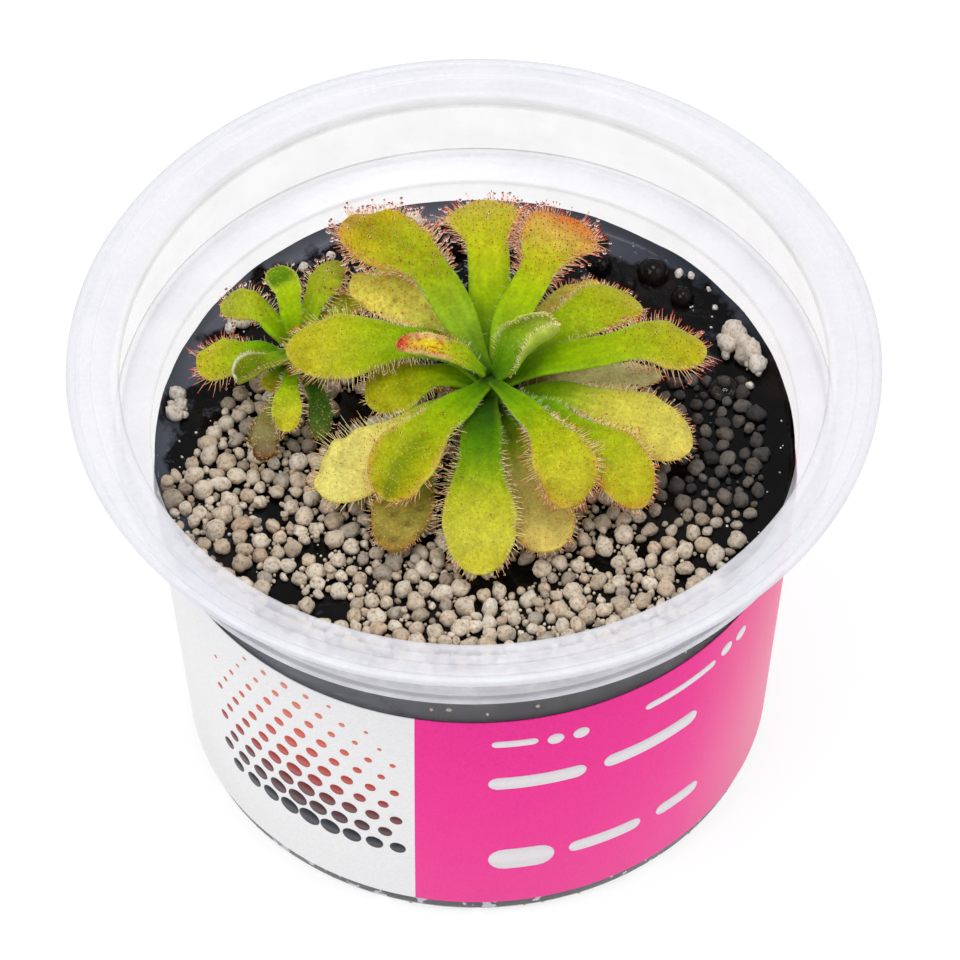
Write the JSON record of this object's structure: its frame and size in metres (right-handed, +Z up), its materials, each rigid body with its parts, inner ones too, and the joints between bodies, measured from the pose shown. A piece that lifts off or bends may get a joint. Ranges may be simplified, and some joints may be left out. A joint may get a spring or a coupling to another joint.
{
  "type": "potted sundew plant",
  "caption": "Sundew rosette with a side plantlet, sticky tentacles on its leaves, rooted in dark gel with pale granules in a stepped translucent cup.",
  "frame": {"origin": "centre of the cup's resting ring", "axes": "+Z up, out of the cup's mouth; -Y towards the side where the band's pale and coloured panels meet; +X to the right seen from -Y"},
  "size_m": [0.1, 0.1, 0.0644],
  "materials": {
    "cup_plastic": "satin",
    "label_print": "satin",
    "gel": "gloss",
    "granule": "matte",
    "stem_green": "satin",
    "leaf_green": "satin",
    "leaf_lime": "satin",
    "leaf_pale": "satin",
    "leaf_old": "matte",
    "tentacle_red": "gloss",
    "dew": "polished"
  },
  "bodies": {
    "root": {"cup": "cup_plastic", "label_band": "label_print", "gel": "gel", "granule_bed": "granule", "granule_clump_left": "granule", "granule_clump_right": "granule", "crown_stem": "stem_green", "offset_stem": "stem_green", "folded_leaf": "leaf_lime", "leaf_front": "leaf_lime", "leaf_front_under": "leaf_old", "leaf_front_left": "leaf_lime", "leaf_front_left_pale": "leaf_pale", "leaf_front_left_old": "leaf_old", "leaf_left": "leaf_lime", "leaf_left_young": "leaf_lime", "leaf_back_left": "leaf_lime", "leaf_back_left_pale": "leaf_pale", "leaf_back": "leaf_green", "leaf_back_right": "leaf_green", "leaf_right_back": "leaf_green", "leaf_right_back_pale": "leaf_pale", "leaf_right": "leaf_green", "leaf_right_old": "leaf_old", "leaf_right_low": "leaf_pale", "leaf_front_right_low": "leaf_lime", "leaf_front_right": "leaf_lime", "leaf_front_right_pale": "leaf_pale", "leaf_left_round": "leaf_green", "leaf_left_hook": "leaf_old", "offset_leaf_back_left": "leaf_green", "offset_leaf_back": "leaf_lime", "offset_leaf_back_right": "leaf_green", "offset_leaf_right": "leaf_green", "offset_leaf_left": "leaf_lime", "offset_leaf_cupped": "leaf_green", "offset_leaf_small": "leaf_lime", "offset_leaf_front": "leaf_lime", "offset_leaf_old": "leaf_old", "offset_leaf_front_right": "leaf_green"}
  },
  "joints": []
}
